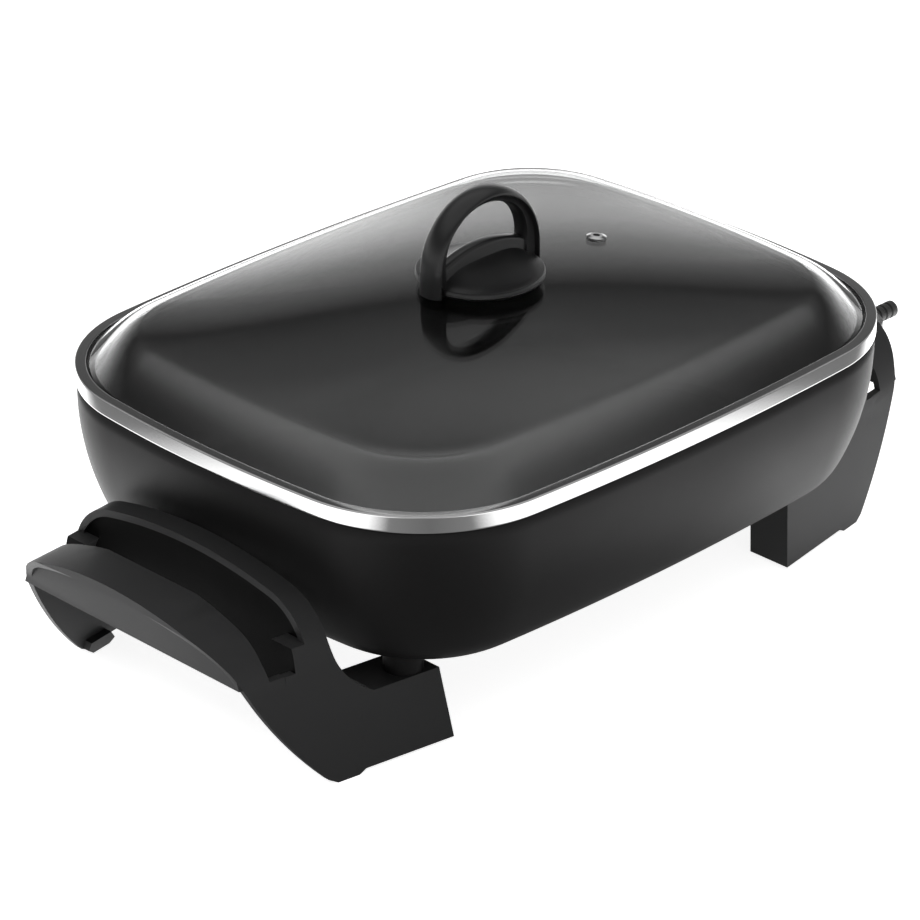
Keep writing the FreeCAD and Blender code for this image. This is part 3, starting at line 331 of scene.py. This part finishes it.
element_sheath = surface("heat_tinted_steel", (0.3, 0.28, 0.26), 0.45, 1800.0, 0.15, metallic=1.0)
ceramic = surface("glazed_ceramic", (0.8, 0.78, 0.72), 0.4, 1800.0, 0.1)
coated("heating_element", element_sheath)
coated("terminal_pins", surface("nickel_plate", (0.66, 0.64, 0.6), 0.25, 2000.0, 0.05, metallic=1.0))
coated("pin_insulators", ceramic)
coated("terminal_guard", surface("pressed_steel", (0.5, 0.5, 0.5), 0.35, 2200.0, 0.1, metallic=1.0))


# Handles: each is one heat-proof moulding with a grip bar, a roofed wall and two leaning legs. The inside
# of its slot is painted near-black as shade. Its hollow arms are screwed up into the pan's posts.
mould_crease = math.radians(30.0)
flat_enough = math.radians(0.6)


def softened(node, name, width, material, segments=2):
    """A rigid node's solid with its moulded edges rounded over."""
    work = merged_copy(node)
    bmesh.ops.dissolve_limit(work, angle_limit=flat_enough, verts=work.verts, edges=work.edges)
    piece = placed(work, name, sharp=math.degrees(mould_crease), outward=False)
    piece.data.materials.append(material)
    rounding = piece.modifiers.new("rounded_edges", "BEVEL")
    rounding.width = width
    rounding.segments = segments
    rounding.limit_method = "ANGLE"
    rounding.angle_limit = mould_crease
    rounding.harden_normals = True
    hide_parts(node)
    return piece


handle_moulding = surface("handle_moulding", (0.028, 0.028, 0.0284), 0.52, 3000.0, 0.3, shine=0.12)
# A near-black finish of painted shade for the inside of the slot, darker than the moulding's own colour.
handle_painted_shade = surface("handle_painted_shade", (0.003, 0.003, 0.003), 0.7, 3000.0, 0.3, shine=0.04)
painted_shade_faces, painted_shade_reach, handle_edge = (0.205, 0.209, 0.219), 0.0004, 0.0013
for side in ("left", "right"):
    handle = softened("handle_" + side, side + "_handle_moulding", handle_edge, handle_moulding, segments=3)
    handle.data.materials.append(handle_painted_shade)
    # Faces that face sideways inside the slot take the painted shade.
    for polygon in handle.data.polygons:
        off = min(abs(abs(polygon.center.x) - face) for face in painted_shade_faces)
        if off < painted_shade_reach and abs(polygon.normal.x) > 0.9:
            polygon.material_index = 1
    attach(handle, "base")

# An apron closes the slot under the roofed wall, painted near-black as shade. The right one leaves room for
# the control.
web_near, web_far, web_low, web_high = 0.2048, 0.2088, 0.042, 0.071
web_foot, web_head, control_room = 0.0895, 0.0862, 0.0268
front_end, back_end = (-web_foot, -web_head), (web_foot, web_head)
room_front, room_back = (-control_room, -control_room), (control_room, control_room)
web_spans = {"left": [(front_end, back_end)], "right": [(front_end, room_front), (room_back, back_end)]}
for side, spans in web_spans.items():
    sign = -1 if side == "left" else 1
    work = bmesh.new()
    for ends in spans:
        loft(work, [[(sign * web_near, foot, web_low), (sign * web_far, foot, web_low),
                     (sign * web_far, head, web_high), (sign * web_near, head, web_high)]
                    for foot, head in ends])
    web = placed(work, side + "_handle_web")
    web.data.materials.append(handle_painted_shade)
    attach(web, "base")

zinc_plate = surface("zinc_plate", (0.62, 0.62, 0.6), 0.35, 2500.0, 0.08, metallic=1.0)
coated("handle_screws", zinc_plate)
coated("handle_washers", zinc_plate)


# Lid band: one strip of stainless steel rolled round the glass, closed underneath round the seal, and
# polished. Its section is swept along the rim outline.
def new_group(name, inputs):
    """A geometry group with a mesh in, a mesh out and these named inputs."""
    group = bpy.data.node_groups.new(name, "GeometryNodeTree")
    group.interface.new_socket("Geometry", in_out="INPUT", socket_type="NodeSocketGeometry")
    for title, kind in inputs:
        group.interface.new_socket(title, in_out="INPUT", socket_type="NodeSocket" + kind)
    group.interface.new_socket("Geometry", in_out="OUTPUT", socket_type="NodeSocketGeometry")
    return group, group.nodes.new("NodeGroupInput"), group.nodes.new("NodeGroupOutput")


def grown(name, mesh, group, values):
    """The plain mesh object that a geometry group makes from this mesh and these values."""
    carrier = bpy.data.objects.new(name + "_carrier", mesh)
    bpy.context.scene.collection.objects.link(carrier)
    growth = carrier.modifiers.new(name, "NODES")
    growth.node_group = group
    for socket in group.interface.items_tree:
        if socket.in_out == "INPUT" and socket.name in values:
            growth[socket.identifier] = values[socket.name]
    graph = bpy.context.evaluated_depsgraph_get()
    result = bpy.data.meshes.new_from_object(carrier.evaluated_get(graph))
    bpy.data.objects.remove(carrier)
    result.name = name
    piece = bpy.data.objects.new(name, result)
    bpy.context.scene.collection.objects.link(piece)
    return piece


band_low, band_top, band_sheet = 0.14275, 0.15205, 0.0008
band_lip, band_foot, band_lip_drop = 0.006, 0.0054, 0.0032
band_round, lip_round, band_flat = 0.00055, 0.0004, 0.00095


def rounded_corner(x, z, x_sign, z_sign, radius):
    """Four points round an outer corner of the band's section."""
    points = []
    for step in range(4):
        angle = math.pi / 2 * step / 3
        points.append((x - x_sign * radius * (1 - math.cos(angle)),
                       z - z_sign * radius * (1 - math.sin(angle))))
    return points


# The section goes up the outer face, over the lip, down inside it and round the foot that grips the seal.
band_section = ([(0.0, band_top - band_flat)] + rounded_corner(0.0, band_top, -1, 1, band_round)
                + [(band_flat, band_top), (band_lip - band_flat, band_top)]
                + rounded_corner(band_lip, band_top, 1, 1, lip_round)[::-1]
                + [(band_lip, band_top - band_sheet), (band_sheet, band_top - band_sheet),
                   (band_sheet, band_low + band_sheet), (band_foot - band_sheet, band_low + band_sheet),
                   (band_foot - band_sheet, band_low - band_lip_drop), (band_foot, band_low - band_lip_drop),
                   (band_foot, band_low), (band_flat, band_low)]
                + rounded_corner(0.0, band_low, -1, -1, band_round)[::-1]
                + [(0.0, band_low + band_flat)])
section_curve = bpy.data.curves.new("band_section", "CURVE")
section_spline = section_curve.splines.new("POLY")
section_spline.points.add(len(band_section) - 1)
for point, (inset, height) in zip(section_spline.points, band_section):
    point.co = (-inset, -height, 0, 1)
section_spline.use_cyclic_u = True
section_object = bpy.data.objects.new("band_section", section_curve)
bpy.context.scene.collection.objects.link(section_object)

group, entry, result = new_group("swept_band", [("Section", "Object"), ("Finish", "Material")])
path = group.nodes.new("GeometryNodeMeshToCurve")
upright = group.nodes.new("GeometryNodeSetCurveNormal")
upright.mode = "Z_UP"
section = group.nodes.new("GeometryNodeObjectInfo")
sweep = group.nodes.new("GeometryNodeCurveToMesh")
real = group.nodes.new("GeometryNodeRealizeInstances")
finish = group.nodes.new("GeometryNodeSetMaterial")
link(group, entry, "Geometry", path, "Mesh")
link(group, path, "Curve", upright, "Curve")
link(group, entry, "Section", section, "Object")
link(group, upright, "Curve", sweep, "Curve")
link(group, section, "Geometry", sweep, "Profile Curve")
link(group, sweep, "Mesh", real, "Geometry")
link(group, real, "Geometry", finish, "Geometry")
link(group, entry, "Finish", finish, "Material")
link(group, finish, "Geometry", result, "Geometry")

polished_steel = surface("polished_steel", (0.42, 0.42, 0.42), 0.1, 700.0, 0.012, metallic=1.0, spread=0.04,
                         tone=0.03)
rim_points = rim_loop(0.0, 0.0, steps=(8, 24, 10))
rim_path = bpy.data.meshes.new("band_path")
rim_edges = [(index, (index + 1) % len(rim_points)) for index in range(len(rim_points))]
rim_path.from_pydata(rim_points, rim_edges, [])
lid_rim_band = grown("lid_rim_band", rim_path, group, {"Section": section_object, "Finish": polished_steel})
bpy.data.objects.remove(section_object)
mesh = lid_rim_band.data
work = bmesh.new()
work.from_mesh(mesh)
bmesh.ops.recalc_face_normals(work, faces=work.faces)
work.to_mesh(mesh)
work.free()
mesh.polygons.foreach_set("use_smooth", [True] * len(mesh.polygons))
mesh.set_sharp_from_angle(angle=math.radians(40))
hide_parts("lid_band")
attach(lid_rim_band, "lid")
silicone = surface("dark_silicone", (0.02, 0.02, 0.02), 0.6, 1500.0, 0.1)
coated("lid_seal", silicone)


# Lid glass: one sheet of tempered glass sagged over a mould, with a steep shoulder and a low crown.
# A flat rim sits in the band's seal.
glass_thickness, glass_edge_inset = 0.004, 0.0011
edge_top = band_top - band_sheet
dome_edge, shoulder_width, shoulder_rise = 0.007, 0.028, 0.0186
crown_edge, crown_rise, plateau = dome_edge + shoulder_width, 0.013, 0.17
crown_reach = Vector((half_length - crown_edge, half_width - crown_edge))
inner_draw = 0.7
shoulder_steps, crown_steps = 20, 29


def dome_loops(depth):
    """The dome from its foot to the middle, this far below the outer face."""
    loops = []
    for step in range(shoulder_steps + 1):
        share = step / shoulder_steps
        lift = shoulder_rise * (0.8 * math.sin(share * math.pi / 2) + 0.2 * share)
        inset = dome_edge + shoulder_width * share + depth * inner_draw * (1 - share)
        loops.append(rim_loop(inset, edge_top + lift - depth))
    for step in range(1, crown_steps):
        scale = 1 - step / crown_steps
        ring = []
        for x, y, height in rim_loop(crown_edge, edge_top + shoulder_rise - depth, scale):
            square = (x / crown_reach.x) ** 2 + (y / crown_reach.y) ** 2
            fall = max(square * (1 - scale ** 2) + scale ** 4, plateau ** 2)
            ring.append((x, y, height + crown_rise * (1 - fall)))
        loops.append(ring)
    return loops


work = bmesh.new()
rim_rows = [rim_loop(glass_edge_inset, edge_top), rim_loop(glass_edge_inset, edge_top - glass_thickness)]
loft(work, list(reversed(dome_loops(0.0))) + rim_rows + dome_loops(glass_thickness))
lid_dome = placed(work, "lid_dome", sharp=30.0)
tempered_glass = bpy.data.materials.new("tempered_glass")
tree = new_tree(tempered_glass)
glass_place = tree.nodes.new("ShaderNodeTexCoord")
glass_waves = tree.nodes.new("ShaderNodeTexNoise")
glass_waves.inputs["Scale"].default_value = 7.0
glass_waves.inputs["Detail"].default_value = 1.0
glass_relief = tree.nodes.new("ShaderNodeBump")
glass_relief.inputs["Strength"].default_value = 0.03
glass_relief.inputs["Distance"].default_value = 0.002
glass_shader = tree.nodes.new("ShaderNodeBsdfPrincipled")
glass_shader.inputs["Base Color"].default_value = (0.95, 0.955, 0.955, 1)
glass_shader.inputs["Roughness"].default_value = 0.02
glass_shader.inputs["IOR"].default_value = 1.5
glass_shader.inputs["Transmission Weight"].default_value = 1.0
glass_out = tree.nodes.new("ShaderNodeOutputMaterial")
link(tree, glass_place, "Object", glass_waves, "Vector")
link(tree, glass_waves, "Fac", glass_relief, "Height")
link(tree, glass_relief, "Normal", glass_shader, "Normal")
link(tree, glass_shader, "BSDF", glass_out, "Surface")
lid_dome.data.materials.append(tempered_glass)
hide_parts("lid_glass")
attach(lid_dome, "lid")
coated("vent_grommet", polished_steel)


# Knob: one heat-proof moulding, an arched loop with a ridge inside it, standing on a dished saucer.
# A screw from inside the lid holds it, over a thin seal.
seat, arch_radius, arch_centre = 0.18367, 0.0405, 0.19547
arch_half_depth, ridge_half_depth, ridge_radius, leg_inner = 0.008, 0.005, 0.032, 0.0288
arch_foot, groove_radius, groove_round = 0.18507, 0.0362, 0.0004
arch_crown = [(0.0, 0.0), (0.00015, 0.0022), (0.0006, 0.0042), (0.0014, 0.0060), (0.0026, 0.0073),
              (0.0037, arch_half_depth)]
leg_steps, arch_steps = 5, 40


def arch_section(inner):
    """The loop's section: radius from its centre and offset across, crowned outside and ridged inside."""
    crown = [(arch_radius - fall, across) for fall, across in arch_crown]
    half = crown + [(groove_radius + groove_round, arch_half_depth),
                    (groove_radius, arch_half_depth - 0.0007),
                    (groove_radius - groove_round, ridge_half_depth + groove_round),
                    (groove_radius - 0.001, ridge_half_depth),
                    (inner + 0.0014, ridge_half_depth), (inner + 0.0004, ridge_half_depth - 0.0012),
                    (inner, ridge_half_depth - 0.0028)]
    return half + [(radius, -across) for radius, across in reversed(half[1:])]


work = bmesh.new()
loops = []
leg_heights = [arch_foot + (arch_centre - arch_foot) * step / leg_steps for step in range(leg_steps)]
for height in leg_heights:
    loops.append([(-radius, across, height) for radius, across in arch_section(leg_inner)])
for step in range(arch_steps + 1):
    angle = math.pi * step / arch_steps
    inner = leg_inner + (ridge_radius - leg_inner) * min(1.0, 1.6 * math.sin(angle))
    loops.append([(-radius * math.cos(angle), across, arch_centre + radius * math.sin(angle))
                  for radius, across in arch_section(inner)])
for height in reversed(leg_heights):
    loops.append([(radius, across, height) for radius, across in arch_section(leg_inner)])
loft(work, loops)

# The saucer has a hub and a rounded lip, and its top climbs from both sides to the spine.
saucer_radius, saucer_edge, saucer_rise = 0.0348, 0.0054, 0.0095
hub_radius, screw_radius, middle_radius = 0.009, 0.0024, 0.002
low = seat + 0.0008
high = low + saucer_edge
top_radius = saucer_radius - 0.0018
saucer_side = [(screw_radius, seat), (hub_radius, seat), (hub_radius, low + 0.0012),
               (saucer_radius - 0.004, low + 0.0004), (saucer_radius - 0.0012, low + 0.0010),
               (saucer_radius, low + 0.0024), (saucer_radius - 0.0001, high - 0.0012),
               (saucer_radius - 0.0007, high - 0.0002), (top_radius, high)]
saucer_steps, saucer_points = 16, 72


def saucer_ring(radius, height):
    """A level ring round the middle of the knob."""
    turns = [2 * math.pi * index / saucer_points for index in range(saucer_points)]
    return [(radius * math.cos(turn), radius * math.sin(turn), height) for turn in turns]


rings = [saucer_ring(radius, height) for radius, height in saucer_side]
for step in range(1, saucer_steps + 1):
    ring = []
    for x, y, height in saucer_ring(top_radius - (top_radius - middle_radius) * step / saucer_steps, high):
        climb = (1 - abs(y) / math.sqrt(top_radius ** 2 - x ** 2)) ** 1.7 * (1 - (x / top_radius) ** 4)
        ring.append((x, y, height + saucer_rise * climb))
    rings.append(ring)
loft(work, rings)

# The spine runs from leg to leg, highest in the middle.
spine_half, spine_top, spine_fall, spine_steps = 0.004, 0.2056, 0.006, 20
spine_base, spine_reach, spine_round = high - 0.003, leg_inner + 0.0008, 0.0018
loops = []
for step in range(spine_steps + 1):
    place = -spine_reach + 2 * spine_reach * step / spine_steps
    crest = spine_top - spine_fall * (place / leg_inner) ** 2
    half = [(spine_half + 0.0012, spine_base), (spine_half, spine_base + 0.004),
            (spine_half, crest - spine_round), (spine_half - spine_round / 3, crest - spine_round / 3),
            (spine_half - spine_round, crest)]
    loops.append([(place, -across, height) for across, height in half]
                 + [(place, across, height) for across, height in reversed(half)])
loft(work, loops)
knob_loop = placed(work, "knob_loop", sharp=42.0)
knob_moulding = surface("knob_moulding", (0.008, 0.008, 0.0083), 0.3, 3000.0, 0.12, shine=0.36)
knob_loop.data.materials.append(knob_moulding)
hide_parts("lid_knob")
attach(knob_loop, "lid")
coated("knob_seal", silicone)
coated("knob_washer", zinc_plate)
coated("knob_screw", zinc_plate)


# Plug-in control: two moulded housing halves, screwed together round the contacts, the probe and the
# thermostat. The cord leaves through a ribbed rubber gland, and a lamp sits under an amber lens.
small_edge = 0.0005
control_moulding = surface("control_moulding", (0.015, 0.015, 0.0155), 0.42, 3200.0, 0.28, shine=0.42)
for half in ("top", "bottom"):
    housing = softened("control_housing_" + half, "housing_" + half + "_shell", small_edge, control_moulding)
    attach(housing, "control")
gland_rubber = surface("gland_rubber", (0.012, 0.012, 0.012), 0.5, 2600.0, 0.2)
gland = softened("cord_gland", "gland_sleeve", small_edge, gland_rubber)
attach(gland, "control")
bare_brass = surface("bare_brass", (0.7, 0.52, 0.25), 0.3, 2000.0, 0.08, metallic=1.0)
coated("probe_stem", element_sheath)
coated("socket_contacts", bare_brass)
coated("bimetal_strip", bare_brass)
coated("contact_arm", bare_brass)
coated("terminal_block", ceramic)
coated("housing_screws", zinc_plate)
coated("pilot_lamp", surface("lamp_glass", (0.8, 0.5, 0.3), 0.1, 500.0, 0.02))
coated("lamp_lens", surface("amber_lens", (0.6, 0.12, 0.03), 0.15, 500.0, 0.02))


# Temperature dial: a moulded knob with finger notches, pressed on a steel shaft. A scale of ticks is
# printed on its flange and the numbers 1 to 5 on its top.
dial_place, dial_flange, dial_radius, print_depth = Vector((0.284, 0.0)), 0.0679, 0.019, 0.00012
dial_moulding = surface("dial_moulding", (0.0165, 0.0165, 0.0168), 0.4, 3000.0, 0.2, shine=0.42)
dial = softened("temperature_dial", "dial_knob", small_edge, dial_moulding)
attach(dial, "dial")
coated("dial_shaft", zinc_plate)

scale_print = surface("scale_print", (0.75, 0.75, 0.73), 0.5, 4000.0, 0.05)
tick_inputs = [("Count", "Int"), ("Radius", "Float"), ("Tick Length", "Float"), ("Tick Width", "Float"),
               ("Tick Depth", "Float"), ("Finish", "Material")]
group, entry, result = new_group("scale_ticks", tick_inputs)
circle = group.nodes.new("GeometryNodeMeshCircle")
tick = group.nodes.new("GeometryNodeMeshCube")
tick_size = group.nodes.new("ShaderNodeCombineXYZ")
spread = group.nodes.new("GeometryNodeInstanceOnPoints")
facing = group.nodes.new("FunctionNodeAlignEulerToVector")
facing.axis = "X"
facing.pivot_axis = "Z"
position = group.nodes.new("GeometryNodeInputPosition")
shift = group.nodes.new("GeometryNodeTransform")
real = group.nodes.new("GeometryNodeRealizeInstances")
finish = group.nodes.new("GeometryNodeSetMaterial")
link(group, entry, "Count", circle, "Vertices")
link(group, entry, "Radius", circle, "Radius")
link(group, entry, "Tick Length", tick_size, "X")
link(group, entry, "Tick Width", tick_size, "Y")
link(group, entry, "Tick Depth", tick_size, "Z")
link(group, tick_size, "Vector", tick, "Size")
link(group, circle, "Mesh", spread, "Points")
link(group, tick, "Mesh", spread, "Instance")
link(group, position, "Position", facing, "Vector")
link(group, facing, "Rotation", spread, "Rotation")
link(group, spread, "Instances", shift, "Geometry")
shift.inputs["Translation"].default_value = (dial_place.x, dial_place.y, dial_flange)
link(group, shift, "Geometry", real, "Geometry")
link(group, real, "Geometry", finish, "Geometry")
link(group, entry, "Finish", finish, "Material")
link(group, finish, "Geometry", result, "Geometry")
tick_count, tick_length, tick_width = 30, 0.0013, 0.0004
ticks = grown("dial_scale_ticks", bpy.data.meshes.new("tick_seed"), group,
              {"Count": tick_count, "Radius": dial_radius - tick_length, "Tick Length": tick_length,
               "Tick Width": tick_width, "Tick Depth": 2 * print_depth, "Finish": scale_print})
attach(ticks, "dial")

number_height, number_radius, number_level = 0.0032, dial_radius - 0.0106, 0.0739
number_step, number_start = 60, -90
for number in range(1, 6):
    angle = math.radians(number_step * number + number_start)
    text = bpy.data.curves.new("dial_number", "FONT")
    text.body = str(number)
    text.size = number_height
    text.align_x = "CENTER"
    text.align_y = "CENTER"
    text.extrude = print_depth
    carrier = bpy.data.objects.new("dial_number", text)
    bpy.context.scene.collection.objects.link(carrier)
    graph = bpy.context.evaluated_depsgraph_get()
    mesh = bpy.data.meshes.new_from_object(carrier.evaluated_get(graph))
    bpy.data.objects.remove(carrier)
    out = Vector((math.cos(angle), math.sin(angle)))
    spot = dial_place + out * number_radius
    mesh.transform(Matrix.Translation((spot.x, spot.y, number_level))
                   @ Matrix.Rotation(angle - math.pi / 2, 4, "Z"))
    mesh.materials.clear()
    mesh.materials.append(scale_print)
    numeral = bpy.data.objects.new("dial_number_%d" % number, mesh)
    bpy.context.scene.collection.objects.link(numeral)
    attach(numeral, "dial")
